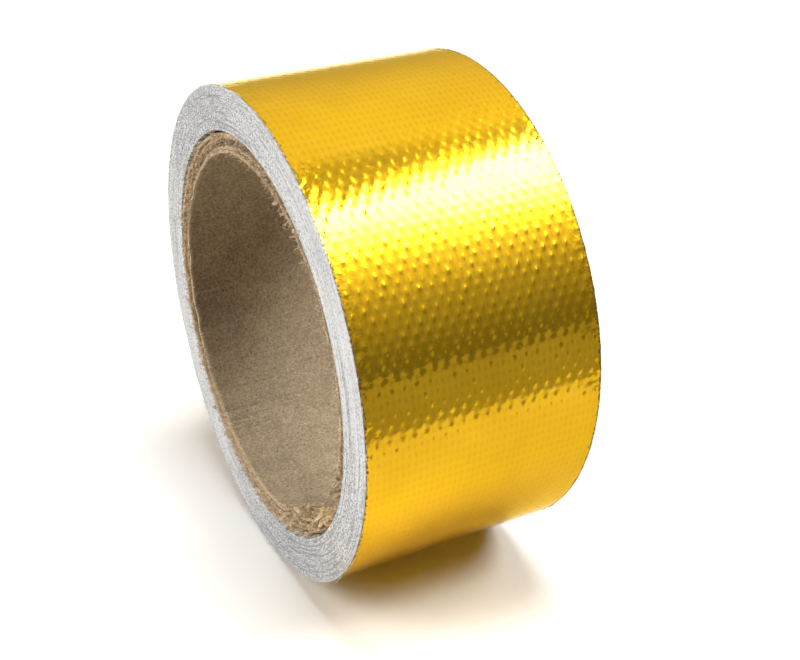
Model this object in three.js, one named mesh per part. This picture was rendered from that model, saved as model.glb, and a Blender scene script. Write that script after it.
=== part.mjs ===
// A roll of gold faced reflective heat tape on a paperboard core, standing on its rim.
// Units are millimetres and +Z is up. The roll's axis runs along Y, and the origin is on the
// floor, under the middle of the roll.
import * as THREE from "three";

// Driving dimensions
const tapeWidth = 50; // width of the tape, which is the length of the roll
const tapeThickness = 0.285; // one turn: gold film, glass cloth, adhesive and liner
const turns = 33; // how often the tape goes round the core
const coreBore = 76.4; // diameter of the hole through the core, made for a 3 inch spindle
const coreWall = 4.15; // thickness of the core's board
const coreRecess = 1.2; // how far each end of the core lies inside the tape's cut edge
const coreBevel = 0.35; // the crushed corner inside each end of the core
const windingSeat = 0.3; // clearance between the core and the first turn

// The turns show on the ends as shallow grooves, one for each group of turns.
const turnsPerGroove = 3;
const grooveDepth = 0.18;
const grooveHalfWidth = 0.14;

// Facets round every turned surface, with one of them level at the floor.
const facets = 60;
const facetAngle = (2 * Math.PI) / facets;

const boreRadius = coreBore / 2;
const coreRadius = boreRadius + coreWall;
const windingBore = coreRadius + windingSeat;
const rollRadius = windingBore + turns * tapeThickness;
const axisHeight = rollRadius * Math.cos(facetAngle / 2); // the facets' distance from the axis

const gold = new THREE.MeshStandardMaterial({ color: 0xd9a520, roughness: 0.25, metalness: 1 });
const board = new THREE.MeshStandardMaterial({ color: 0x8f7a5e, roughness: 0.95, metalness: 0 });

// Turns a closed outline of [radius, distance along the axis] points into a ring about Y.
function turned(outline) {
  const points = [...outline, outline[0]].map(([radius, along]) => new THREE.Vector2(radius, along));
  return new THREE.LatheGeometry(points, facets, facetAngle / 2);
}

// One end of the winding from its bore outwards, with a V groove after each group of turns.
function windingEnd(side) {
  const face = (side * tapeWidth) / 2;
  const floor = face - side * grooveDepth;
  const points = [[windingBore, face]];
  for (let turn = turnsPerGroove; turn < turns; turn += turnsPerGroove) {
    const radius = windingBore + turn * tapeThickness;
    points.push([radius - grooveHalfWidth, face], [radius, floor], [radius + grooveHalfWidth, face]);
  }
  points.push([rollRadius, face]);
  return points;
}

// The wound tape: one ring, as long as the tape is wide.
function tapeWinding() {
  const outline = [...windingEnd(-1), ...windingEnd(1).reverse()];
  const mesh = new THREE.Mesh(turned(outline), gold);
  mesh.name = "tape_winding";
  return mesh;
}

// The core: a tube of wound board, a little shorter than the tape is wide.
function cardboardCore() {
  const end = tapeWidth / 2 - coreRecess;
  const outline = [
    [boreRadius, -end + coreBevel],
    [boreRadius + coreBevel, -end],
    [coreRadius, -end],
    [coreRadius, end],
    [boreRadius + coreBevel, end],
    [boreRadius, end - coreBevel],
  ];
  const mesh = new THREE.Mesh(turned(outline), board);
  mesh.name = "cardboard_core";
  return mesh;
}

const roll = new THREE.Group();
roll.add(tapeWinding(), cardboardCore());
roll.position.z = axisHeight;

export default roll;
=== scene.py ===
"""A roll of gold faced heat tape on a paperboard core, dressed and lit as a studio photograph.

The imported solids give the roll's place and sizes. The winding is modelled as one strip that spirals
from the core outwards, its last turn faced with gold film over a plain glass cloth, and the core as
a tube of torn paper plies.
"""

import logging
import math
from dataclasses import dataclass, field
from enum import Enum
from typing import Any, Sequence

import bpy
from mathutils import Matrix, Vector

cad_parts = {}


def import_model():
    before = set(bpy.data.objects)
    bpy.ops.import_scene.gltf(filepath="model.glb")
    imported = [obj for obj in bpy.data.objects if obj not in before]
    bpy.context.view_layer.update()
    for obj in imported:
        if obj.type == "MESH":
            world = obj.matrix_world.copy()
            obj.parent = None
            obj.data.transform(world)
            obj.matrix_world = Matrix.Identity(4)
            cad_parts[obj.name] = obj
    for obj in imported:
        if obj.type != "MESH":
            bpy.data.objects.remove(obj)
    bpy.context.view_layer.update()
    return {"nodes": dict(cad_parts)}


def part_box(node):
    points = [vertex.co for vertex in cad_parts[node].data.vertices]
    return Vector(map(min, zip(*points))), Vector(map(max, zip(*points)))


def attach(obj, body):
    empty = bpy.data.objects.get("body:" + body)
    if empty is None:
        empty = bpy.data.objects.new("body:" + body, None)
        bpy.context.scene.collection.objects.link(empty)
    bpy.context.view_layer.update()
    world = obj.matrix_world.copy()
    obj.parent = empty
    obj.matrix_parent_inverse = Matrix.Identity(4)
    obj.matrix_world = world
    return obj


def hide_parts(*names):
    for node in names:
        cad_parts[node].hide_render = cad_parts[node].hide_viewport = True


LOG = logging.getLogger("heat_tape")
MM = 0.001
TURN = 2 * math.pi
CREASE = math.radians(50)
FIBRE_CREASE = math.radians(60)

Colour = tuple[float, float, float]
Pair = tuple[float, float]
Sizes = dict[str, Any]


class Op(Enum):
    """The sums that the node trees here use."""

    ADD = "ADD"
    SUB = "SUBTRACT"
    MUL = "MULTIPLY"
    DIV = "DIVIDE"
    POW = "POWER"
    MAX = "MAXIMUM"
    MIN = "MINIMUM"
    SIN = "SINE"
    COS = "COSINE"
    ABS = "ABSOLUTE"
    LESS = "LESS_THAN"
    MORE = "GREATER_THAN"


class Slot(Enum):
    """The record's material slots."""

    GOLD = "gold_tape"
    EDGE = "tape_edge"
    BOARD = "paperboard"


class Node(Enum):
    """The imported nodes."""

    WINDING = "tape_winding"
    CORE = "cardboard_core"


@dataclass(frozen=True)
class Socket:
    """An output of a node, which plain arithmetic joins to further nodes."""

    weaver: "Weaver"
    output: bpy.types.NodeSocket

    def __add__(self, other: "Value") -> "Socket":
        """This plus another value."""
        return self.weaver.math(Op.ADD, self, other)

    def __sub__(self, other: "Value") -> "Socket":
        """This less another value."""
        return self.weaver.math(Op.SUB, self, other)

    def __rsub__(self, other: "Value") -> "Socket":
        """Another value less this."""
        return self.weaver.math(Op.SUB, other, self)

    def __mul__(self, other: "Value") -> "Socket":
        """This times another value."""
        return self.weaver.math(Op.MUL, self, other)

    def __truediv__(self, other: "Value") -> "Socket":
        """This over another value."""
        return self.weaver.math(Op.DIV, self, other)

    def __rtruediv__(self, other: "Value") -> "Socket":
        """Another value over this."""
        return self.weaver.math(Op.DIV, other, self)

    def __pow__(self, other: "Value") -> "Socket":
        """This to a power."""
        return self.weaver.math(Op.POW, self, other)

    def __abs__(self) -> "Socket":
        """This without its sign."""
        return self.weaver.math(Op.ABS, self)


Value = Socket | float | int | Sequence[float]
Inputs = dict[str | int, Value]


class Weaver:
    """Adds nodes to one tree, shader or geometry, and joins them."""

    def __init__(self, tree: bpy.types.NodeTree) -> None:
        """Works on a tree.

        Args:
            tree: the node tree that gets the nodes.
        """
        self.tree = tree
        self.made = 0

    def node(self, kind: str, inputs: Inputs | None = None, **settings: Any) -> bpy.types.Node:
        """Adds a node.

        Args:
            kind: the node's type name in Blender.
            inputs: values by input name or number.
            settings: properties to set on it.

        Returns:
            The new node.
        """
        added = self.tree.nodes.new(kind)
        added.location = (180 * (self.made // 8), -160 * (self.made % 8))
        self.made += 1
        for name, setting in settings.items():
            setattr(added, name, setting)
        self.feed(added, inputs or {})
        return added

    def feed(self, node: bpy.types.Node, inputs: Inputs) -> None:
        """Links inputs of a node, or sets their values.

        Args:
            node: the node.
            inputs: a socket, a number or a row of numbers for each input name or number.
        """
        for key, value in inputs.items():
            entry = node.inputs[key]
            if isinstance(value, Socket):
                self.tree.links.new(value.output, entry)
            elif entry.type == "RGBA":
                entry.default_value = (*value, 1.0)
            else:
                entry.default_value = value

    def take(self, node: bpy.types.Node, output: str | int = 0) -> Socket:
        """An output of a node, by name or number."""
        return Socket(self, node.outputs[output])

    def value(
        self, kind: str, inputs: Inputs | None = None, output: str | int = 0, **settings: Any
    ) -> Socket:
        """Adds a node for one of its outputs.

        Args:
            kind: the node's type name in Blender.
            inputs: values by input name or number.
            output: the output's name or number.
            settings: properties to set on the node.

        Returns:
            The output.
        """
        return self.take(self.node(kind, inputs, **settings), output)

    def math(self, op: Op, *values: Value) -> Socket:
        """A sum of one or two values."""
        return self.value("ShaderNodeMath", dict(enumerate(values)), operation=op.value)

    def vector(self, x: Value = 0.0, y: Value = 0.0, z: Value = 0.0) -> Socket:
        """A vector put together from three values."""
        return self.value("ShaderNodeCombineXYZ", {0: x, 1: y, 2: z})

    def part(self, vector: Socket, axis: str) -> Socket:
        """The X, Y or Z of a vector."""
        return self.value("ShaderNodeSeparateXYZ", {0: vector}, output=axis)

    def ramp(self, value: Value, low: Value, high: Value, start: Value = 0.0, end: Value = 1.0) -> Socket:
        """A smooth step.

        Args:
            value: what is read.
            low: the value where the step starts.
            high: the value where it ends.
            start: the result at low.
            end: the result at high.

        Returns:
            The result's socket.
        """
        return self.value(
            "ShaderNodeMapRange",
            {"Value": value, "From Min": low, "From Max": high, "To Min": start, "To Max": end},
            interpolation_type="SMOOTHSTEP",
        )

    def noise(self, vector: Socket, scale: float, detail: float = 2.0, roughness: float = 0.5) -> Socket:
        """A noise's factor, from 0 to 1, at a place.

        Args:
            vector: the place.
            scale: the noise's waves in each unit.
            detail: its octaves.
            roughness: how strong the small octaves are.

        Returns:
            The factor's socket.
        """
        inputs = {"Vector": vector, "Scale": scale, "Detail": detail, "Roughness": roughness}
        return self.value("ShaderNodeTexNoise", inputs, output="Fac")

    def mix(self, factor: Value, first: Socket | Colour, second: Socket | Colour) -> Socket:
        """A colour between two colours."""
        return self.value("ShaderNodeMix", {0: factor, 6: first, 7: second}, output=2, data_type="RGBA")

    def random(self, low: Value, high: Value, seed: int) -> Socket:
        """A random number for each point, in a geometry tree."""
        inputs = {2: low, 3: high, 8: seed}
        return self.value("FunctionNodeRandomValue", inputs, output=1, data_type="FLOAT")

    def held(self, name: str) -> Socket:
        """A number that each point of the piece holds, in a geometry tree."""
        inputs = {"Name": name}
        return self.value("GeometryNodeInputNamedAttribute", inputs, output="Attribute", data_type="FLOAT")

    def read(self, name: str) -> Socket:
        """A number that each point of the piece holds, in a material's tree."""
        return self.value(
            "ShaderNodeAttribute", output="Fac", attribute_name=name, attribute_type="GEOMETRY"
        )

    def place(self) -> Socket:
        """The place on the object, in a material's tree."""
        return self.value("ShaderNodeTexCoord", output="Object")

    def bump(self, height: Socket) -> Socket:
        """The normal that a height in metres gives, in a material's tree."""
        inputs = {"Strength": 1.0, "Distance": 1.0, "Height": height}
        return self.value("ShaderNodeBump", inputs, output="Normal")


@dataclass(frozen=True)
class RollFrame:
    """The roll's place and sizes in metres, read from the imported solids."""

    axis_height: float
    radius: float
    half_width: float
    winding_bore: float
    core_radius: float
    core_bore: float
    core_half_length: float

    @classmethod
    def measured(cls, nodes: dict[str, bpy.types.Object]) -> "RollFrame":
        """Reads the sizes.

        Args:
            nodes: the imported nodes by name.

        Returns:
            The frame.
        """
        low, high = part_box(Node.WINDING.value)
        core_low, core_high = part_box(Node.CORE.value)
        axis_height = (low.z + high.z) / 2

        def bore(node: Node) -> float:
            """The smallest distance of a node's corners from the roll's axis."""
            corners = nodes[node.value].data.vertices
            return min(math.hypot(corner.co.x, corner.co.z - axis_height) for corner in corners)

        return cls(
            axis_height=axis_height,
            radius=(high.z - low.z) / 2,
            half_width=high.y,
            winding_bore=bore(Node.WINDING),
            core_radius=(core_high.z - core_low.z) / 2,
            core_bore=bore(Node.CORE),
            core_half_length=core_high.y,
        )


@dataclass(frozen=True)
class Weave:
    """The glass cloth's plain weave, whose yarns stand up under the film.

    Turns are counted round the roll from the tape's end, from 0 to 1.
    """

    across_pitch: float = 1.25 * MM
    along_pitch: float = 1.88 * MM
    crown_height: float = 0.1 * MM
    crown_powers: Pair = (1.2, 1.5)
    stray: float = 1.0 * MM
    stray_waves: float = 320.0
    uneven_waves: float = 330.0
    uneven_share: Pair = (0.3, 1.25)
    top_turns: Pair = (0.55, 0.60)
    top_share: float = 0.34
    foot_turns: Pair = (0.40, 0.48)
    foot_share: float = 0.55

    def crowns(self, weaver: Weaver, along: Socket, across: Socket, powers: Pair) -> Socket:
        """The share of a crown's height at a place on the cloth.

        Args:
            weaver: the tree's weaver.
            along: the distance along the tape.
            across: the distance from the tape's middle.
            powers: how short the crowns are along the tape, and how narrow across it.

        Returns:
            A number from 0 between the crowns to 1 on top of each.
        """
        wave_along, wave_across = self.waves(weaver, along, across)
        crowned = weaver.math(Op.MORE, wave_along * wave_across, 0.0)
        return crowned * self.crossings(weaver, along, across, powers)

    def crossings(self, weaver: Weaver, along: Socket, across: Socket, powers: Pair) -> Socket:
        """Like the crowns, but on every crossing of two yarns, whichever of them is on top.

        Args:
            weaver: the tree's weaver.
            along: the distance along the tape.
            across: the distance from the tape's middle.
            powers: how short the spots are along the tape, and how narrow across it.

        Returns:
            A number from 0 between the crossings to 1 on each.
        """
        wave_along, wave_across = self.waves(weaver, along, across)
        return abs(wave_along) ** powers[0] * abs(wave_across) ** powers[1]

    def waves(self, weaver: Weaver, along: Socket, across: Socket) -> tuple[Socket, Socket]:
        """The weave's two waves, which are at their highest and lowest where the yarns cross."""
        wave_along = weaver.math(Op.COS, along * (math.pi / self.along_pitch))
        wave_across = weaver.math(Op.COS, across * (math.pi / self.across_pitch))
        return wave_along, wave_across

    def standing(self, weaver: Weaver, place: Socket, wound: Socket) -> Socket:
        """How far the crowns stand up: unevenly, and pressed flat on the roll's top and foot.

        Args:
            weaver: the tree's weaver.
            place: the place on the film.
            wound: the turns up to there.

        Returns:
            The share of their full height.
        """
        uneven = weaver.ramp(weaver.noise(place, self.uneven_waves), 0.3, 0.7, *self.uneven_share)
        top = weaver.ramp(wound, *self.top_turns, 1.0, self.top_share)
        foot = weaver.ramp(wound, *self.foot_turns, self.foot_share, 1.0)
        return uneven * (top * foot)

    def strayed(self, weaver: Weaver, along: Socket, across: Socket) -> tuple[Socket, Socket]:
        """The two distances as the yarns lie, a little off their straight rows.

        Args:
            weaver: the tree's weaver.
            along: the distance along the tape.
            across: the distance from the tape's middle.

        Returns:
            The strayed distances, along and across.
        """
        places = (weaver.vector(along, across, shift) for shift in (0.0, 1.0))
        wander_along, wander_across = (weaver.noise(place, self.stray_waves) - 0.5 for place in places)
        return wander_along * self.stray + along, wander_across * self.stray + across


def new_geometry_tree(name: str, inputs: dict[str, str]) -> tuple[Weaver, dict[str, Socket]]:
    """Starts a geometry tree.

    Args:
        name: the tree's name.
        inputs: socket types by input name, without the finish that every tree takes.

    Returns:
        The weaver, and the input sockets by name.
    """
    tree = bpy.data.node_groups.new(name, "GeometryNodeTree")
    tree.interface.new_socket("Geometry", in_out="OUTPUT", socket_type="NodeSocketGeometry")
    inputs = inputs | {"Finish": "NodeSocketMaterial"}
    for label, kind in inputs.items():
        tree.interface.new_socket(label, in_out="INPUT", socket_type=kind)
    weaver = Weaver(tree)
    entry = weaver.node("NodeGroupInput")
    return weaver, {label: weaver.take(entry, label) for label in inputs}


def typed(numbers: Sequence[str], counts: Sequence[str]) -> dict[str, str]:
    """The socket types of a tree's inputs: plain numbers, then whole ones."""
    return dict.fromkeys(numbers, "NodeSocketFloat") | dict.fromkeys(counts, "NodeSocketInt")


def store(weaver: Weaver, geometry: Socket, numbers: dict[str, Socket]) -> Socket:
    """Keeps numbers on each point of a geometry.

    Args:
        weaver: the tree's weaver.
        geometry: the geometry.
        numbers: the numbers by the names that they get.

    Returns:
        The geometry that holds them.
    """
    for name, number in numbers.items():
        inputs = {"Geometry": geometry, "Name": name, "Value": number}
        geometry = weaver.value(
            "GeometryNodeStoreNamedAttribute", inputs, data_type="FLOAT", domain="POINT"
        )
    return geometry


def circle(weaver: Weaver, steps: Value, radius: float = 1.0) -> Socket:
    """A closed ring of points."""
    inputs = {"Resolution": steps, "Radius": radius}
    return weaver.value("GeometryNodeCurvePrimitiveCircle", inputs, mode="RADIUS")


def section(weaver: Weaver, top: Socket, bottom: Socket, end: Socket) -> Socket:
    """A flat strip's section: a closed loop that knows where it lies across and through the strip.

    Args:
        weaver: the tree's weaver.
        top: steps along the outer side.
        bottom: steps along the inner side.
        end: steps through the thickness at each cut edge.

    Returns:
        A curve whose points hold across, from -1 to 1, and lift, from 0 inside to 1 outside.
    """
    loop = circle(weaver, top + bottom + end * 2.0)
    index = weaver.value("GeometryNodeInputIndex")

    def run(start: Value, length: Value) -> Socket:
        """Rises from 0 to 1 while the index passes length steps after start."""
        passed = (index - start) / length
        return weaver.math(Op.MIN, weaver.math(Op.MAX, passed, 0.0), 1.0)

    second_corner = top + end
    third_corner = second_corner + bottom
    across = (run(0.0, top) - run(second_corner, bottom)) * 2.0 - 1.0
    lift = 1.0 - run(top, end) + run(third_corner, end)
    return store(weaver, loop, {"across": across, "lift": lift})


def finish_off(weaver: Weaver, geometry: Socket, finish: Socket) -> bpy.types.GeometryNodeTree:
    """Ends a geometry tree: instances realized, and the finish on every face.

    Args:
        weaver: the tree's weaver.
        geometry: what the tree made.
        finish: the material.

    Returns:
        The tree.
    """
    real = weaver.value("GeometryNodeRealizeInstances", {"Geometry": geometry})
    dressed = weaver.value("GeometryNodeSetMaterial", {"Geometry": real, "Material": finish})
    weaver.node("NodeGroupOutput", {"Geometry": dressed})
    return weaver.tree


def about_axis(
    weaver: Weaver, radius: Socket, turned: tuple[Socket, Socket], y: Socket, axis_height: Socket
) -> Socket:
    """A place by its distance from the roll's axis.

    Args:
        weaver: the tree's weaver.
        radius: the distance from the axis.
        turned: the cosine and sine of the angle about it.
        y: the distance along it.
        axis_height: its height.

    Returns:
        The place.
    """
    return weaver.vector(radius * turned[0], y, radius * turned[1] + axis_height)


def strip_tree(name: str, weave: Weave | None) -> bpy.types.GeometryNodeTree:
    """Winds a strip in a spiral about the roll's axis.

    Args:
        name: the tree's name.
        weave: the cloth that stands up on the strip's outer side, or None for a smooth one.

    Returns:
        The tree. Its inputs are the strip's sizes.
    """
    numbers = ("Start Radius", "Pitch", "Turns", "Start Angle", "Axis Height", "Half Width", "Thickness")
    counts = ("Steps Along", "Steps Across", "Steps Under", "Steps Through")
    weaver, given = new_geometry_tree(name, typed((*numbers, "Edge Drift", "Slackness"), counts))

    line = weaver.value("GeometryNodeCurvePrimitiveLine", {"End": (0.0, 0.0, 1.0)})
    path = weaver.value("GeometryNodeResampleCurve", {"Curve": line, "Count": given["Steps Along"]})
    path = store(weaver, path, {"along": weaver.value("GeometryNodeSplineParameter", output="Factor")})
    loop = section(weaver, given["Steps Across"], given["Steps Under"], given["Steps Through"])
    sweep = {"Curve": path, "Profile Curve": loop, "Fill Caps": True}
    swept = weaver.value("GeometryNodeCurveToMesh", sweep)

    across, lift = weaver.held("across"), weaver.held("lift")
    wound = weaver.held("along") * given["Turns"]
    inside = wound * given["Pitch"] + given["Start Radius"]
    angle = wound * TURN + given["Start Angle"]
    arc = inside * (wound * TURN)
    sideways = across * given["Half Width"]
    drift = weaver.noise(weaver.vector(wound * 3.1, across), 2.3, 3.0) - 0.5
    y = sideways + drift * given["Edge Drift"]
    radius = lift * given["Thickness"] + inside
    marks = {"arc": arc, "side": sideways}
    if weave is not None:
        yarn_along, yarn_across = weave.strayed(weaver, arc, sideways)
        marks |= {"yarn_along": yarn_along, "yarn_across": yarn_across}
        place = weaver.vector(arc, sideways)
        crown = weave.crowns(weaver, yarn_along, yarn_across, weave.crown_powers)
        crown = crown * weave.standing(weaver, place, wound)
        slack = weaver.noise(place, 170.0) - 0.5
        radius = (slack * given["Slackness"] + crown * weave.crown_height) * lift + radius
    turned = (weaver.math(Op.COS, angle), weaver.math(Op.SIN, angle))
    position = about_axis(weaver, radius, turned, y, given["Axis Height"])
    placed = weaver.value("GeometryNodeSetPosition", {"Geometry": swept, "Position": position})
    return finish_off(weaver, store(weaver, placed, marks | {"wound": wound}), given["Finish"])


def slanted(weaver: Weaver, angle: Socket, given: dict[str, Socket]) -> Socket:
    """How far the core's slantwise cut lies along the axis.

    Args:
        weaver: the tree's weaver.
        angle: the angle about the axis.
        given: the tree's inputs, with the slant and its angle.

    Returns:
        The distance.
    """
    return weaver.math(Op.COS, angle - given["Slant Angle"]) * given["Slant"]


def ply_tree(name: str) -> bpy.types.GeometryNodeTree:
    """Nests paper plies into a tube with frayed ends, the near one torn in one place.

    Args:
        name: the tree's name.

    Returns:
        The tree. Its inputs are the tube's sizes.
    """
    numbers = ("Bore Radius", "Wall", "Axis Height", "Half Length", "Ply Gap", "Tear", "Fray", "Tear Angle")
    numbers = (*numbers, "Cup", "Fluff", "Slant", "Slant Angle")
    counts = ("Plies", "Steps Round", "Steps Along", "Steps Through")
    weaver, given = new_geometry_tree(name, typed(numbers, counts))

    ring = circle(weaver, given["Steps Round"])
    ring = store(weaver, ring, {"along": weaver.value("GeometryNodeSplineParameter", output="Factor")})
    copies = {"Geometry": ring, "Amount": given["Plies"]}
    nest = weaver.node("GeometryNodeDuplicateElements", copies, domain="SPLINE")
    rings = store(weaver, weaver.take(nest, "Geometry"), {"ply": weaver.take(nest, "Duplicate Index")})
    loop = section(weaver, given["Steps Along"], given["Steps Along"], given["Steps Through"])
    swept = weaver.value("GeometryNodeCurveToMesh", {"Curve": rings, "Profile Curve": loop})

    across, lift, ply = weaver.held("across"), weaver.held("lift"), weaver.held("ply")
    angle = weaver.held("along") * TURN
    turn_x, turn_z = weaver.math(Op.COS, angle), weaver.math(Op.SIN, angle)
    pitch = given["Wall"] / given["Plies"]
    radius = lift * (pitch - given["Ply Gap"]) + (ply * pitch + given["Bore Radius"])
    end = abs(across) ** 30.0

    def frayed(waves: float, shift: Socket, *shape: float) -> Socket:
        """A noise round the tube that differs from ply to ply."""
        return weaver.noise(weaver.vector(turn_x * waves, turn_z * waves, ply * 1.7 + shift), *shape)

    torn, fray = frayed(3.0, across, 2.2, 5.0, 0.6), frayed(40.0, lift, 2.0, 3.0, 0.7)
    radius = (fray - 0.5) * given["Fluff"] * end + radius
    middle = (given["Plies"] - 1.0) * 0.5
    off_middle = (ply - middle) / middle
    sunk = (1.0 - off_middle * off_middle) * given["Cup"]
    facing = weaver.math(Op.COS, angle - given["Tear Angle"])
    damage = weaver.ramp(facing, 0.84, 0.95, 0.04, 1.0) * weaver.math(Op.LESS, across, 0.0)
    ripped = weaver.math(Op.MAX, torn * 0.2, weaver.ramp(torn, 0.38, 0.64))
    inward = fray * given["Fray"] + ripped * damage * given["Tear"] + sunk
    y = across * (given["Half Length"] - inward * end) + slanted(weaver, angle, given)
    position = about_axis(weaver, radius, (turn_x, turn_z), y, given["Axis Height"])
    placed = weaver.value("GeometryNodeSetPosition", {"Geometry": swept, "Position": position})
    return finish_off(weaver, placed, given["Finish"])


def curled_fibre(weaver: Weaver, thickness: Socket, flatness: Socket) -> Socket:
    """One fibre, 1 metre long before it is scaled, bent, with a four sided section.

    Args:
        weaver: the tree's weaver.
        thickness: its half thickness as a share of its length.
        flatness: its other half thickness as a share of the first.

    Returns:
        Its mesh.
    """
    places = {"Start": (0.0, 0.0, 0.0), "Middle": (0.0, 0.45, 0.55), "End": (0.35, 0.1, 1.0)}
    bend = weaver.value("GeometryNodeCurveQuadraticBezier", {"Resolution": 4} | places)
    oval = weaver.vector(thickness, thickness * flatness, 1.0)
    hoop = weaver.value("GeometryNodeTransform", {"Geometry": circle(weaver, 4), "Scale": oval})
    sweep = {"Curve": bend, "Profile Curve": hoop, "Fill Caps": True}
    return weaver.value("GeometryNodeCurveToMesh", sweep)


def fibre_tree(name: str) -> bpy.types.GeometryNodeTree:
    """Scatters small curled fibres round both ends of the roll.

    Args:
        name: the tree's name.

    Returns:
        The tree. Its inputs are the fibres' count, places and sizes.
    """
    places = ("Radius Low", "Radius High", "Angle", "Spread", "Axis Height", "Half Length", "Both Ends")
    shape = ("Length Low", "Length High", "Thickness", "Flatness", "Tilt Out", "Tilt Round")
    weaver, given = new_geometry_tree(name, typed((*places, *shape, "Slant", "Slant Angle"), ("Count",)))
    fibre = curled_fibre(weaver, given["Thickness"], given["Flatness"])

    angle = weaver.random(-0.5, 0.5, 1) * given["Spread"] + given["Angle"]
    radius = weaver.random(given["Radius Low"], given["Radius High"], 2)
    far_end = weaver.math(Op.MORE, weaver.random(0.0, 1.0, 3) * given["Both Ends"], 0.5)
    side = far_end * 2.0 - 1.0
    turn_x, turn_z = weaver.math(Op.COS, angle), weaver.math(Op.SIN, angle)
    y = side * given["Half Length"] + slanted(weaver, angle, given)
    position = about_axis(weaver, radius, (turn_x, turn_z), y, given["Axis Height"])
    points = weaver.value("GeometryNodePoints", {"Count": given["Count"], "Position": position})

    out = weaver.random(-1.0, 1.0, 4) * given["Tilt Out"]
    along = weaver.random(-1.0, 1.0, 5) * given["Tilt Round"]
    direction = weaver.vector(out * turn_x - along * turn_z, side, out * turn_z + along * turn_x)
    aligned = weaver.value("FunctionNodeAlignRotationToVector", {"Vector": direction}, axis="Z")
    spin = {0: weaver.vector(0.0, 0.0, weaver.random(0.0, TURN, 6))}
    turns = {"Rotation": aligned, "Rotate By": weaver.value("FunctionNodeEulerToRotation", spin)}
    turned = weaver.value("FunctionNodeRotateRotation", turns, rotation_space="LOCAL")
    length = weaver.random(given["Length Low"], given["Length High"], 7)
    scale = weaver.vector(length, length, length)
    copies = {"Points": points, "Instance": fibre, "Rotation": turned, "Scale": scale}
    return finish_off(weaver, weaver.value("GeometryNodeInstanceOnPoints", copies), given["Finish"])


def grown(name: str, tree: bpy.types.GeometryNodeTree, sizes: Sizes, crease: float) -> bpy.types.Object:
    """Grows a piece from a geometry tree, as a plain mesh with its faces pointing out.

    Args:
        name: the piece's name.
        tree: the geometry tree.
        sizes: its inputs by name.
        crease: the angle in radians past which an edge stays sharp.

    Returns:
        The piece.
    """
    piece = bpy.data.objects.new(name, bpy.data.meshes.new(name))
    bpy.context.scene.collection.objects.link(piece)
    modifier = piece.modifiers.new("growth", "NODES")
    modifier.node_group = tree
    for item in tree.interface.items_tree:
        if item.item_type == "SOCKET" and item.in_out == "INPUT" and item.name in sizes:
            modifier[item.identifier] = sizes[item.name]
    graph = bpy.context.evaluated_depsgraph_get()
    mesh = bpy.data.meshes.new_from_object(
        piece.evaluated_get(graph), preserve_all_data_layers=True, depsgraph=graph
    )
    piece.modifiers.clear()
    spare, piece.data = piece.data, mesh
    bpy.data.meshes.remove(spare)
    mesh.name = name
    if signed_volume(mesh) < 0:
        mesh.flip_normals()
    mesh.shade_smooth()
    mesh.set_sharp_from_angle(angle=crease)
    return piece


def signed_volume(mesh: bpy.types.Mesh) -> float:
    """A closed mesh's volume, which is negative where its faces point inwards.

    Args:
        mesh: the mesh.

    Returns:
        The volume in cubic metres.
    """
    total = 0.0
    mesh.calc_loop_triangles()
    for triangle in mesh.loop_triangles:
        a, b, c = (mesh.vertices[index].co for index in triangle.vertices)
        total += a.dot(b.cross(c))
    return total / 6


def triangles(piece: bpy.types.Object) -> int:
    """How many triangles a piece's mesh has."""
    piece.data.calc_loop_triangles()
    return len(piece.data.loop_triangles)


def new_material(name: str) -> tuple[Weaver, bpy.types.Node, bpy.types.Material]:
    """Starts a material.

    Args:
        name: the material's name.

    Returns:
        The weaver of its tree, its Principled shader, and the material.
    """
    material = bpy.data.materials.new(name)
    material.use_nodes = True
    return Weaver(material.node_tree), material.node_tree.nodes["Principled BSDF"], material


def speckle_group() -> bpy.types.ShaderNodeTree:
    """Makes the group of small specks that the cut cloth and the paper share.

    Returns:
        The group. It gives a mask of dark specks, one of pale ones, and a slow mottle.
    """
    group = bpy.data.node_groups.new("specks", "ShaderNodeTree")
    group.interface.new_socket("Place", in_out="INPUT", socket_type="NodeSocketVector")
    for label in ("Size", "Cover"):
        group.interface.new_socket(label, in_out="INPUT", socket_type="NodeSocketFloat")
    for label in ("Dark", "Pale", "Mottle"):
        group.interface.new_socket(label, in_out="OUTPUT", socket_type="NodeSocketFloat")
    weaver = Weaver(group)
    entry = weaver.node("NodeGroupInput")
    place, size, cover = (weaver.take(entry, label) for label in ("Place", "Size", "Cover"))
    scaled = {"Vector": place, "Scale": 1.0 / size}
    place = weaver.value("ShaderNodeVectorMath", scaled, operation="SCALE")
    apart = weaver.value("ShaderNodeVectorMath", {0: place, 1: (31.7, 11.3, 7.9)}, operation="ADD")
    dark, pale = weaver.noise(place, 1.0, 2.0, 0.6), weaver.noise(apart, 1.3, 2.0, 0.6)
    threshold = 0.75 - cover * 0.35
    masks = [weaver.ramp(noise, threshold, threshold + 0.07) for noise in (dark, pale)]
    mottle = weaver.noise(place, 0.11, 3.0, 0.55)
    weaver.node("NodeGroupOutput", {"Dark": masks[0], "Pale": masks[1], "Mottle": mottle})
    return group


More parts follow.
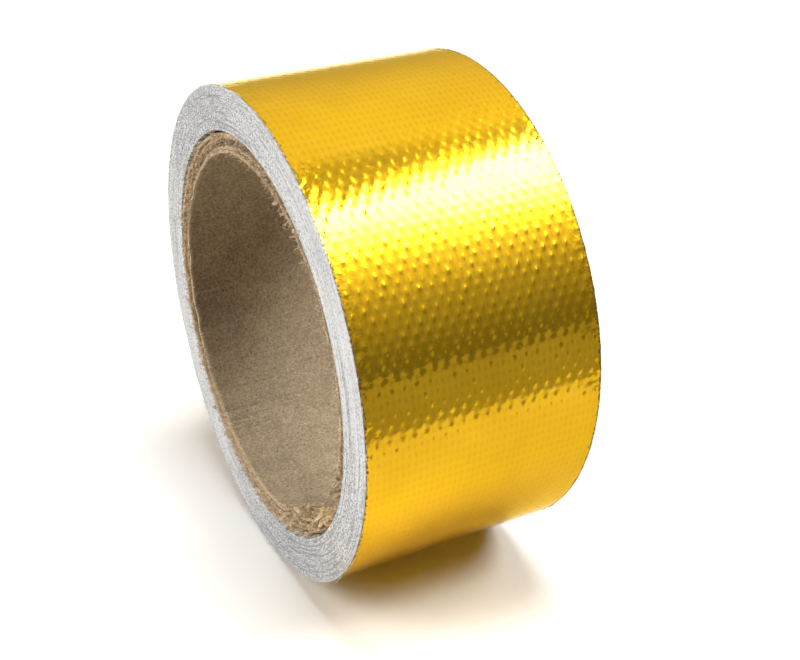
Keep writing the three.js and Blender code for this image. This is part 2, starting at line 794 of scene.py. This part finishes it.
@dataclass(frozen=True)
class GoldFilm:
    """Gold film laid on the cloth: a mirror that follows the yarns under it.

    Its noises are named after what they make, and give their waves in each metre.
    """

    weave: Weave
    half_width: float
    colour: Colour = (0.52, 0.305, 0.006)
    deep_colour: Colour = (0.48, 0.27, 0.004)
    worn_colour: Colour = (0.26, 0.14, 0.002)
    crown_wear: float = 0.24
    wear_powers: Pair = (1.5, 2.5)
    edge_tint: Colour = (1.0, 0.8, 0.22)
    roughness: float = 0.125
    crown_roughness: float = 0.12
    dull_roughness: float = 0.6
    coat: float = 0.15
    coat_roughness: float = 0.14
    crown_bump: float = 0.035 * MM
    crown_powers: Pair = (2.2, 5.0)
    strand_bump: float = 0.006 * MM
    strand_waves: Pair = (700.0, 5200.0)
    wrinkle_bump: float = 0.02 * MM
    wrinkle_waves: float = 1100.0
    edge_wrinkle_bump: float = 0.26 * MM
    edge_wrinkle_waves: float = 420.0
    edge_wrinkle_reach: float = 7.0 * MM
    mottle_waves: float = 60.0
    edge_colour: Colour = (0.55, 0.55, 0.56)
    chipped_colour: Colour = (0.035, 0.022, 0.006)
    chip_waves: float = 1700.0
    chip_reach: float = 3.4 * MM
    chip_start: float = 1.35 * MM

    def material(self) -> bpy.types.Material:
        """Makes the film's material."""
        weaver, shader, material = new_material("gold film")
        side = weaver.read("side")
        place = weaver.vector(weaver.read("arc"), side)
        yarns = weaver.read("yarn_along"), weaver.read("yarn_across")
        from_edge = self.half_width - abs(side)
        mottle = weaver.noise(place, self.mottle_waves, 3.0, 0.6)
        ragged = weaver.noise(place, self.chip_waves, 3.0, 0.7) * self.chip_reach - self.chip_start
        chipped = weaver.math(Op.LESS, from_edge, ragged)
        crown = self.weave.crowns(weaver, *yarns, self.crown_powers)
        crossing = self.weave.crossings(weaver, *yarns, self.wear_powers)
        bare = self.bare(weaver)
        dull = weaver.math(Op.MAX, bare, chipped * 0.7)

        gold = weaver.mix(weaver.ramp(mottle, 0.35, 0.7), self.colour, self.deep_colour)
        gold = weaver.mix(crossing * self.crown_wear, gold, self.worn_colour)
        gold = weaver.mix(chipped, gold, self.chipped_colour)
        rough = weaver.ramp(mottle, 0.3, 0.7, self.roughness * 0.85, self.roughness * 1.2)
        weaver.feed(shader, {
            "Base Color": weaver.mix(bare, gold, self.edge_colour),
            "Metallic": 1.0 - dull,
            "Specular Tint": self.edge_tint,
            "Roughness": dull * self.dull_roughness + (crown * self.crown_roughness + rough),
            "Coat Weight": self.coat - dull * self.coat,
            "Coat Roughness": self.coat_roughness,
            "Normal": weaver.bump(self.relief(weaver, place, crown, from_edge)),
        })
        return material

    def bare(self, weaver: Weaver) -> Socket:
        """Where the strip shows cloth, 0 or 1: its slit edges and its back."""
        lift = weaver.read("lift")
        cut = weaver.math(Op.MORE, abs(weaver.read("across")), 0.99999)
        under = weaver.math(Op.LESS, lift, 0.9)
        return weaver.math(Op.MAX, cut * under, weaver.math(Op.LESS, lift, 0.01))

    def relief(self, weaver: Weaver, place: Socket, crown: Socket, from_edge: Socket) -> Socket:
        """The film's fine height: crowns, glass strands and wrinkles, which grow towards its edges.

        Args:
            weaver: the material's weaver.
            place: the place on the film.
            crown: the share of a crown's height there.
            from_edge: the distance from its nearer edge.

        Returns:
            The height in metres.
        """
        crown = crown * self.weave.standing(weaver, place, weaver.read("wound"))
        arc_waves, side_waves = self.strand_waves
        strand_place = weaver.vector(weaver.read("arc") * arc_waves, weaver.read("side") * side_waves)
        strand = weaver.noise(strand_place, 1.0)
        wrinkle = weaver.noise(place, self.wrinkle_waves, 3.0, 0.6)
        edge_wrinkle = weaver.noise(place, self.edge_wrinkle_waves)
        near_edge = weaver.ramp(from_edge, 0.0, self.edge_wrinkle_reach, 1.0, 0.0)
        height = wrinkle * self.wrinkle_bump + crown * self.crown_bump + strand * self.strand_bump
        return near_edge * near_edge * edge_wrinkle * self.edge_wrinkle_bump + height


@dataclass(frozen=True)
class CutCloth:
    """The tape's slit edges: glass cloth, pale and specked, with a dark line where each turn ends.

    The specks and the lines grow denser and fade twice round the roll. This is painted shade: the cloth is
    darker where the light catches the yarns less.
    """

    specks: bpy.types.ShaderNodeTree
    colour: Colour = (0.84, 0.84, 0.835)
    shade: Colour = (0.16, 0.165, 0.18)
    line: Colour = (0.24, 0.24, 0.25)
    speck_length: float = 0.55 * MM
    speck_depth: float = 0.06 * MM
    specks_in_turn: float = 0.85
    # the painted shade's phase round the roll, and how far it swings the specks' cover and the lines
    shade_first_angle: float = math.radians(-10)
    cover: float = 0.66
    shade_cover_swing: float = 0.14
    bunched: float = 0.45
    shade_bunched_swing: float = 0.25
    film_line: float = 0.5

    def material(self) -> bpy.types.Material:
        """Makes the slit edges' material."""
        weaver, shader, material = new_material("cut glass cloth")
        lift, wound, arc = weaver.read("lift"), weaver.read("wound"), weaver.read("arc")
        # painted shade: darkens and lightens the cut cloth twice round the roll, as the light falls on it
        painted_shade_round = weaver.math(Op.COS, wound * (2 * TURN) + self.shade_first_angle)
        place = weaver.vector(arc / self.speck_length, (wound + lift) * self.specks_in_turn)
        inputs = {"Place": place, "Size": 1.0, "Cover": self.cover - painted_shade_round * self.shade_cover_swing}
        dark = weaver.value("ShaderNodeGroup", inputs, output="Dark", node_tree=self.specks)
        bunches = weaver.noise(weaver.vector(wound, arc * 25.0), 2.2, 3.0, 0.6)
        bunched = weaver.ramp(bunches, 0.5, 0.62, 0.0, self.bunched - painted_shade_round * self.shade_bunched_swing)
        colour = weaver.mix(dark * 0.9, self.colour, self.shade)
        colour = weaver.mix(weaver.ramp(lift, 0.8, 0.97, 0.0, self.film_line), colour, self.line)
        weaver.feed(shader, {
            "Base Color": weaver.mix(bunched, colour, self.line),
            "Roughness": 0.75,
            "Normal": weaver.bump(dark * -self.speck_depth),
        })
        return material


@dataclass(frozen=True)
class GreyBoard:
    """Wound grey-brown paperboard, mottled and flecked, tan and fuzzy where it is torn, with painted shade
    in the fuzz.
    """

    specks: bpy.types.ShaderNodeTree
    plies: int
    colour: Colour = (0.46, 0.345, 0.205)
    mottled: Colour = (0.27, 0.20, 0.12)
    # the board's real dark flecks, and also the painted shade in the gaps of the torn fuzz
    dark_fleck_and_shade: Colour = (0.10, 0.08, 0.055)
    pale_fleck: Colour = (0.72, 0.64, 0.50)
    torn: Colour = (0.82, 0.64, 0.42)
    kraft: Colour = (0.88, 0.47, 0.17)
    fleck_size: float = 0.5 * MM
    fleck_cover: float = 0.42
    grey_waves: float = 1500.0
    fluff_waves: float = 2600.0
    grain_waves: float = 2000.0
    grain_bump: float = 0.06 * MM

    def material(self) -> bpy.types.Material:
        """Makes the board's material."""
        weaver, shader, material = new_material("grey paperboard")
        place = weaver.place()
        inputs = {"Place": place, "Size": self.fleck_size, "Cover": self.fleck_cover}
        speck = weaver.node("ShaderNodeGroup", inputs, node_tree=self.specks)
        dark, pale, mottle = (weaver.take(speck, label) for label in ("Dark", "Pale", "Mottle"))
        patchy = mottle * 0.25 + weaver.noise(place, self.grey_waves, 3.0, 0.75) * 0.75
        face = weaver.mix(weaver.ramp(patchy, 0.38, 0.62), self.colour, self.mottled)
        face = weaver.mix(dark * 0.85, face, self.dark_fleck_and_shade)
        face = weaver.mix(pale * 0.55, face, self.pale_fleck)
        end = weaver.ramp(abs(weaver.read("across")), 0.965, 0.999)
        grain = weaver.noise(place, self.grain_waves, 3.0, 0.65)
        weaver.feed(shader, {
            "Base Color": weaver.mix(end, face, self.fibres(weaver, place)),
            "Roughness": 0.92,
            "Specular IOR Level": 0.25,
            "Normal": weaver.bump(grain * self.grain_bump),
        })
        return material

    def fibres(self, weaver: Weaver, place: Socket) -> Socket:
        """The colour of the torn ends: pale on the outer plies, with painted shade between the fibres of
        the fuzz, and one line of kraft paper.

        Args:
            weaver: the material's weaver.
            place: the place on the board.

        Returns:
            The colour.
        """
        ply = weaver.read("ply")
        fluff_shade_mask = weaver.ramp(weaver.noise(place, self.fluff_waves, 3.0, 0.7), 0.35, 0.65)
        rim = abs(ply - (self.plies - 1) / 2)
        torn = weaver.mix(weaver.ramp(rim, 0.4, 1.6), self.mottled, self.torn)
        # painted shade: the gaps in the fuzz are mixed towards the dark fleck colour
        fibres = weaver.mix(fluff_shade_mask, weaver.mix(0.6, torn, self.dark_fleck_and_shade), torn)
        liner = weaver.math(Op.LESS, abs(ply - (self.plies - 2.0)), 0.5)
        liner = liner * weaver.ramp(weaver.read("lift"), 0.4, 0.6)
        return weaver.mix(liner * 0.85, fibres, self.kraft)


@dataclass(frozen=True)
class Fibre:
    """Loose fibres of glass or paper, a little different in tone along and between them."""

    name: str
    colour: Colour
    other_colour: Colour
    sheen: float = 0.3
    tone_waves: float = 1900.0

    def material(self) -> bpy.types.Material:
        """Makes the fibres' material."""
        weaver, shader, material = new_material(self.name)
        tone = weaver.ramp(weaver.noise(weaver.place(), self.tone_waves), 0.35, 0.65)
        weaver.feed(shader, {
            "Base Color": weaver.mix(tone, self.colour, self.other_colour),
            "Roughness": weaver.ramp(tone, 0.0, 1.0, 0.45, 0.8),
            "Specular IOR Level": self.sheen,
        })
        return material


@dataclass
class Assembly:
    """Some of the roll's pieces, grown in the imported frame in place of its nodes."""

    frame: RollFrame
    pieces: list[bpy.types.Object] = field(default_factory=list, init=False)

    def grow(
        self, name: str, tree: bpy.types.GeometryNodeTree, sizes: Sizes, slot: Slot, node: Node,
        crease: float = CREASE,
    ) -> None:
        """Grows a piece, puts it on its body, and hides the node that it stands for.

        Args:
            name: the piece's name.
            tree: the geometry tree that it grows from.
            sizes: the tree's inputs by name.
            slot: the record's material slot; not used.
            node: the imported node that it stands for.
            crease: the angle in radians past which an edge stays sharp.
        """
        piece = grown(name, tree, sizes | {"Axis Height": self.frame.axis_height}, crease)
        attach(piece, "root")
        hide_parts(node.value)
        self.pieces.append(piece)


@dataclass
class TapeWinding(Assembly):
    """The wound tape: the turns whose edges show on both ends, and the last one, faced with gold."""

    gold: bpy.types.Material
    edge: bpy.types.Material
    weave: Weave
    turns: int = 33
    tail_angle: float = math.radians(205)
    turn_gap: float = 0.02 * MM
    slit_inset: float = 0.1 * MM
    gold_edge_drift: float = 0.05 * MM
    turn_edge_drift: float = 0.28 * MM
    slackness: float = 0.03 * MM
    steps_per_turn: int = 168
    steps_per_yarn: int = 4
    steps_across_yarn: int = 3

    @property
    def pitch(self) -> float:
        """How far each turn lies outside the last."""
        return (self.frame.radius - self.frame.winding_bore) / self.turns

    def build(self) -> None:
        """Builds the last turn, and all the turns under it."""
        gold_tree, plain_tree = strip_tree("gold strip", self.weave), strip_tree("plain strip", None)
        self.grow("gold_outer_turn", gold_tree, self.gold_sizes(), Slot.GOLD, Node.WINDING)
        self.grow("wound_turns", plain_tree, self.under_sizes(), Slot.EDGE, Node.WINDING)

    def gold_sizes(self) -> Sizes:
        """The last turn, with the cloth's relief on its outer side."""
        yarns_along = TURN * self.frame.radius / self.weave.along_pitch
        yarns_across = 2 * self.frame.half_width / self.weave.across_pitch
        return self.shared_sizes() | {
            "Start Radius": self.frame.radius - 2 * self.pitch,
            "Turns": 1.0,
            "Edge Drift": self.gold_edge_drift,
            "Slackness": self.slackness,
            "Steps Along": round(yarns_along * self.steps_per_yarn),
            "Steps Across": round(yarns_across * self.steps_across_yarn),
            "Steps Through": 1,
            "Finish": self.gold,
        }

    def under_sizes(self) -> Sizes:
        """All the turns under the last one."""
        under = self.turns - 1
        return self.shared_sizes() | {
            "Start Radius": self.frame.winding_bore,
            "Turns": float(under) - 1.0,
            "Edge Drift": self.turn_edge_drift,
            "Slackness": 0.0,
            "Steps Along": under * self.steps_per_turn,
            "Steps Across": 1,
            "Steps Through": 2,
            "Finish": self.edge,
        }

    def shared_sizes(self) -> Sizes:
        """The sizes that both strips have."""
        return {
            "Pitch": self.pitch,
            "Start Angle": self.tail_angle,
            "Half Width": self.frame.half_width - self.slit_inset,
            "Thickness": self.pitch - self.turn_gap,
            "Steps Under": 1,
        }


@dataclass
class PaperCore(Assembly):
    """The core: a tube of wound paper plies, its ends frayed where it was cut."""

    board: bpy.types.Material
    plies: int = 6
    ply_gap: float = 0.07 * MM
    longer: float = 1.25 * MM
    tear: float = 9.0 * MM
    fray: float = 1.2 * MM
    fluff: float = 1.1 * MM
    tear_angle: float = math.radians(-46)
    scrap_angle: float = math.radians(67)
    cup: float = 1.0 * MM
    slant: float = 0.7 * MM
    slant_angle: float = math.radians(35)
    steps_round: int = 1500

    @property
    def half_length(self) -> float:
        """Half the tube's length, before its ends are frayed."""
        return self.frame.core_half_length + self.longer

    def build(self) -> None:
        """Builds the tube and dresses it."""
        sizes = {
            "Bore Radius": self.frame.core_bore,
            "Wall": self.frame.core_radius - self.frame.core_bore,
            "Half Length": self.half_length,
            "Ply Gap": self.ply_gap,
            "Tear": self.tear,
            "Fray": self.fray,
            "Tear Angle": self.tear_angle,
            "Cup": self.cup,
            "Fluff": self.fluff,
            "Slant": self.slant,
            "Slant Angle": self.slant_angle,
            "Plies": self.plies,
            "Steps Round": self.steps_round,
            "Steps Along": 3,
            "Steps Through": 2,
            "Finish": self.board,
        }
        self.grow("core_plies", ply_tree("ply tube"), sizes, Slot.BOARD, Node.CORE)


@dataclass
class LooseFibres(Assembly):
    """The loose ends that stick out of the cut cloth and the torn paper."""

    core: PaperCore
    glass: bpy.types.Material
    paper: bpy.types.Material

    def build(self) -> None:
        """Builds the four kinds of fibres and dresses them."""
        tree = fibre_tree("loose fibres")
        glass = self.glass_sizes()
        self.grow("glass_fibres", tree, glass, Slot.EDGE, Node.WINDING, FIBRE_CREASE)
        strips = self.strip_sizes()
        paper = {
            "paper_fibres": self.paper_sizes(),
            "torn_strips": strips,
            "hanging_scrap": strips | self.scrap_sizes(),
        }
        for name, sizes in paper.items():
            self.grow(name, tree, self.core_sizes() | sizes, Slot.BOARD, Node.CORE, FIBRE_CREASE)

    def glass_sizes(self) -> Sizes:
        """Hairs along the outer borders of both slit edges."""
        return {
            "Count": 1500,
            "Radius Low": self.frame.radius - 0.25 * MM,
            "Radius High": self.frame.radius - 0.02 * MM,
            "Spread": TURN,
            "Half Length": self.frame.half_width - 0.25 * MM,
            "Length Low": 0.4 * MM,
            "Length High": 1.4 * MM,
            "Thickness": 0.035,
            "Flatness": 1.0,
            "Tilt Out": 0.8,
            "Tilt Round": 2.5,
            "Both Ends": 1.0,
            "Finish": self.glass,
        }

    def paper_sizes(self) -> Sizes:
        """The fuzz of the core's torn ends."""
        return {
            "Count": 5200,
            "Radius Low": self.frame.core_bore - 0.15 * MM,
            "Radius High": self.frame.core_radius + 0.1 * MM,
            "Spread": TURN,
            "Half Length": self.core.half_length - 0.7 * MM,
            "Length Low": 0.45 * MM,
            "Length High": 1.5 * MM,
            "Thickness": 0.055,
            "Flatness": 1.0,
            "Tilt Out": 1.2,
            "Tilt Round": 1.8,
            "Both Ends": 1.0,
        }

    def strip_sizes(self) -> Sizes:
        """The curled strips where the near end is torn."""
        return {
            "Count": 70,
            "Radius Low": self.frame.core_bore,
            "Radius High": self.frame.core_radius - 0.6 * MM,
            "Angle": self.core.tear_angle,
            "Spread": math.radians(62),
            "Half Length": self.core.half_length - 4.6 * MM,
            "Length Low": 2.6 * MM,
            "Length High": 5.2 * MM,
            "Thickness": 0.09,
            "Flatness": 0.35,
            "Tilt Out": 0.5,
            "Tilt Round": 0.9,
            "Both Ends": 0.0,
        }

    def scrap_sizes(self) -> Sizes:
        """How the tuft that hangs into the bore at the near end differs from the strips."""
        return {
            "Count": 40,
            "Radius Low": self.frame.core_bore - 0.9 * MM,
            "Radius High": self.frame.core_bore + 1.2 * MM,
            "Angle": self.core.scrap_angle,
            "Spread": math.radians(9),
            "Half Length": self.core.half_length - 1.9 * MM,
            "Length Low": 1.0 * MM,
            "Length High": 2.0 * MM,
            "Thickness": 0.13,
            "Tilt Out": 1.0,
            "Tilt Round": 1.6,
        }

    def core_sizes(self) -> Sizes:
        """The sizes that all the paper fibres have."""
        return {"Slant": self.core.slant, "Slant Angle": self.core.slant_angle, "Finish": self.paper}


@dataclass(frozen=True)
class Lamp:
    """A soft square lamp that only matt surfaces see.

    It points at the roll's middle, or straight down apart from its tilt where it has one.
    """

    name: str
    place: tuple[float, float, float]
    size: float
    power: float
    colour: Colour = (1.0, 1.0, 1.0)
    tilt: float | None = None

    def hang(self, target: Vector) -> None:
        """Puts the lamp into the scene.

        Args:
            target: the roll's middle.
        """
        data = bpy.data.lights.new(self.name, "AREA")
        data.shape = "SQUARE"
        data.size = self.size
        data.energy = self.power
        data.color = self.colour
        light = bpy.data.objects.new(self.name, data)
        light.location = self.place
        if self.tilt is None:
            aim = target - Vector(self.place)
            light.rotation_euler = aim.to_track_quat("-Z", "Y").to_euler()
        else:
            light.rotation_euler = (0.0, self.tilt, 0.0)
        light.visible_camera = False
        light.visible_glossy = False
        bpy.context.scene.collection.objects.link(light)


@dataclass
class Studio:
    """The white studio: floor, lamps, reflected cards and the camera.

    The gold bounce is the warm light that the gold throws on the floor beside it.
    """

    frame: RollFrame
    lens: float = 59.53
    sensor: float = 36.0
    azimuth: float = 62.35
    elevation: float = 29.70
    face_right: float = -0.57907
    face_up: float = -0.03199
    face_ahead: float = 5.23363
    card_height: float = 1.0
    key_strength: float = 40.0
    halo_strength: float = 1.17
    mirrored_gain: float = 1.5
    sheet_edge: float = 0.165
    edge_shadow: Pair = (0.009, 0.035)
    table_height: float = 0.0006
    table_reach: float = 3.0
    table_glow: Pair = (0.44, 0.5)
    floor_reach: float = 4.0
    floor_whites: tuple[Colour, Colour] = ((0.87, 0.855, 0.82), (0.89, 0.875, 0.84))
    floor_bounce: Colour = (0.36, 0.34, 0.31)
    paled_between: Pair = (0.3, 0.9)
    paled: float = 1.3
    fill: float = 0.04
    seen_backdrop: float = 1.5
    near_room: float = 0.2
    lamps: tuple[Lamp, ...] = (
        Lamp("overhead", (0.05, 0.1, 1.1), 0.5, 12.0),
        Lamp("back", (0.5, 0.66, 1.05), 0.4, 12.5),
        Lamp("front", (-0.4, -0.95, 0.6), 0.7, 14.5),
        Lamp("gold_bounce", (0.056, -0.008, 0.024), 0.06, 0.0044, (1.0, 0.60, 0.06), math.radians(15)),
    )

    def build(self) -> None:
        """Builds the whole studio."""
        self.camera()
        self.floor()
        self.world()
        self.key_card()
        self.dim_table()
        for lamp in self.lamps:
            lamp.hang(Vector((0.0, 0.0, self.frame.axis_height)))
        scene = bpy.context.scene
        scene.view_settings.view_transform = "Standard"
        scene.view_settings.look = "None"
        scene.render.film_transparent = False

    def camera(self) -> None:
        """Places the camera where the photograph was taken from.

        The near end's centre lies at face_right, face_up and face_ahead radii from the camera,
        along the camera's own axes.
        """
        turn, climb = math.radians(self.azimuth), math.radians(self.elevation)
        level = math.cos(climb)
        back = Vector((math.sin(turn) * level, -math.cos(turn) * level, math.sin(climb)))
        right = Vector((math.cos(turn), math.sin(turn), 0.0))
        up = back.cross(right)
        face = Vector((0.0, -self.frame.half_width, self.frame.axis_height))
        offset = right * self.face_right + up * self.face_up - back * self.face_ahead
        data = bpy.data.cameras.new("camera")
        data.sensor_width = self.sensor
        data.lens = self.lens
        data.clip_start = 0.01
        data.clip_end = 20.0
        camera = bpy.data.objects.new("camera", data)
        rotation = Matrix((right, up, back)).transposed().to_4x4()
        camera.matrix_world = Matrix.Translation(face - offset * self.frame.radius) @ rotation
        bpy.context.scene.collection.objects.link(camera)
        bpy.context.scene.camera = camera

    def plane(self, name: str, corners: Sequence[tuple[float, float, float]]) -> bpy.types.Object:
        """A flat staged face.

        Args:
            name: its name.
            corners: its corners in order.

        Returns:
            The object.
        """
        mesh = bpy.data.meshes.new(name)
        mesh.from_pydata([Vector(corner) for corner in corners], [], [range(len(corners))])
        card = bpy.data.objects.new(name, mesh)
        bpy.context.scene.collection.objects.link(card)
        return card

    def floor(self) -> None:
        """The plain pale floor, which matt surfaces see darker, and which pales far from the roll."""
        weaver, shader, material = new_material("white floor")
        place = weaver.place()
        white = weaver.mix(weaver.noise(place, 6.0), *self.floor_whites)
        bounced = weaver.value("ShaderNodeLightPath", output="Is Diffuse Ray")
        apart = weaver.value("ShaderNodeVectorMath", {0: place}, output="Value", operation="LENGTH")
        paled = weaver.ramp(apart, *self.paled_between, 0.0, self.paled)
        weaver.feed(shader, {
            "Base Color": weaver.mix(bounced, white, self.floor_bounce),
            "Roughness": 0.9,
            "Specular IOR Level": 0.1,
            "Emission Color": (1.0, 1.0, 1.0),
            "Emission Strength": paled * (1.0 - bounced),
        })
        reach = self.floor_reach
        corners = [(-reach, -reach, 0), (reach, -reach, 0), (reach, reach, 0), (-reach, reach, 0)]
        self.plane("floor", corners).data.materials.append(material)

    def world(self) -> None:
        """Soft light all round: a pale backdrop behind the roll, a dimmer room in front of it."""
        world = bpy.data.worlds.new("studio")
        bpy.context.scene.world = world
        world.use_nodes = True
        weaver = Weaver(world.node_tree)
        direction = weaver.value("ShaderNodeTexCoord", output="Generated")
        x, y, z = (weaver.part(direction, axis) for axis in "XYZ")
        room = weaver.ramp(z, 0.0, 0.62, 0.2, 0.6)
        backdrop = weaver.ramp(z, -0.05, 0.8, 0.5, 1.2)
        mirrored = weaver.ramp(x, -0.12, -0.24) * (backdrop - room) + room
        filling = mirrored * self.fill
        near = weaver.ramp(y, 0.0, -0.3)
        mirrored = (near * (self.near_room - mirrored) + mirrored) * self.mirrored_gain
        path = weaver.node("ShaderNodeLightPath")
        plain = weaver.take(path, "Is Camera Ray") * (self.seen_backdrop - filling) + filling
        strength = plain + weaver.take(path, "Is Glossy Ray") * (mirrored - plain)
        background = world.node_tree.nodes["Background"]
        weaver.feed(background, {"Color": (1.0, 1.0, 1.0), "Strength": strength})

    def key_card(self) -> None:
        """The softbox that the gold mirrors, brightest near its far edge."""
        high = self.card_height
        corners = [(1.5, 0.0, high), (1.5, 1.25, high), (-0.42, 1.0, high), (0.45, 0.155, high)]
        card = self.plane("key_card", corners)
        weaver, shader, material = new_material("softbox")
        x = weaver.part(weaver.place(), "X")
        fade = weaver.ramp(x, 0.25 * high, 0.9 * high, 1.0, 0.0) ** 2.9
        spread = (weaver.math(Op.MAX, x, 0.3 * high) / high) ** -1.5
        halo = spread * (self.halo_strength * self.mirrored_gain)
        self.shine(card, weaver, shader, material, fade * (self.key_strength * self.mirrored_gain) + halo)

    def dim_table(self) -> None:
        """The dimmer table past the white sheet that the roll stands on, as the gold mirrors it.

        Beside the near half of the roll, the sheet's edge throws a narrow dark line on it.
        """
        edge, far, level = self.sheet_edge, self.table_reach, self.table_height
        corners = [(edge, -far, level), (far, -far, level), (far, far, level), (edge, far, level)]
        card = self.plane("dim_table", corners)
        weaver, shader, material = new_material("dim table")
        place = weaver.place()
        low, high = (glow * self.mirrored_gain for glow in self.table_glow)
        strength = weaver.ramp(weaver.noise(place, 9.0), 0.3, 0.7, low, high)
        width, end = self.edge_shadow
        beside = weaver.math(Op.LESS, weaver.part(place, "X"), edge + width)
        shaded = beside * weaver.math(Op.LESS, weaver.part(place, "Y"), end)
        self.shine(card, weaver, shader, material, strength * (1.0 - shaded * 0.95))

    def shine(
        self, card: bpy.types.Object, weaver: Weaver, shader: bpy.types.Node,
        material: bpy.types.Material, strength: Socket,
    ) -> None:
        """Makes a card glow, and keeps it out of every ray but a mirrored one.

        Args:
            card: the card.
            weaver: its new material's weaver.
            shader: the material's Principled shader, which it loses.
            material: the material.
            strength: how strongly each place glows.
        """
        material.node_tree.nodes.remove(shader)
        glow = weaver.value("ShaderNodeEmission", {"Strength": strength})
        weaver.feed(material.node_tree.nodes["Material Output"], {"Surface": glow})
        card.data.materials.append(material)
        for ray in ("camera", "diffuse", "shadow", "transmission", "volume_scatter"):
            setattr(card, "visible_" + ray, False)


def main() -> None:
    """Builds the roll around its frame, then the studio."""
    logging.basicConfig(level=logging.INFO, format="%(message)s")
    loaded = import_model()
    frame = RollFrame.measured(loaded["nodes"])
    weave = Weave()
    specks = speckle_group()
    gold = GoldFilm(weave, frame.half_width).material()
    winding = TapeWinding(frame, gold, CutCloth(specks).material(), weave)
    core = PaperCore(frame, GreyBoard(specks, PaperCore.plies).material())
    glass = Fibre("loose glass fibres", (0.80, 0.81, 0.82), (0.55, 0.54, 0.50))
    paper = Fibre("loose paper fibres", (0.84, 0.68, 0.47), (0.50, 0.38, 0.24))
    fibres = LooseFibres(frame, core, glass.material(), paper.material())
    for assembly in (winding, core, fibres):
        assembly.build()
        for piece in assembly.pieces:
            LOG.info("%s: %d triangles", piece.name, triangles(piece))
    Studio(frame).build()


if __name__ == "__main__":
    main()
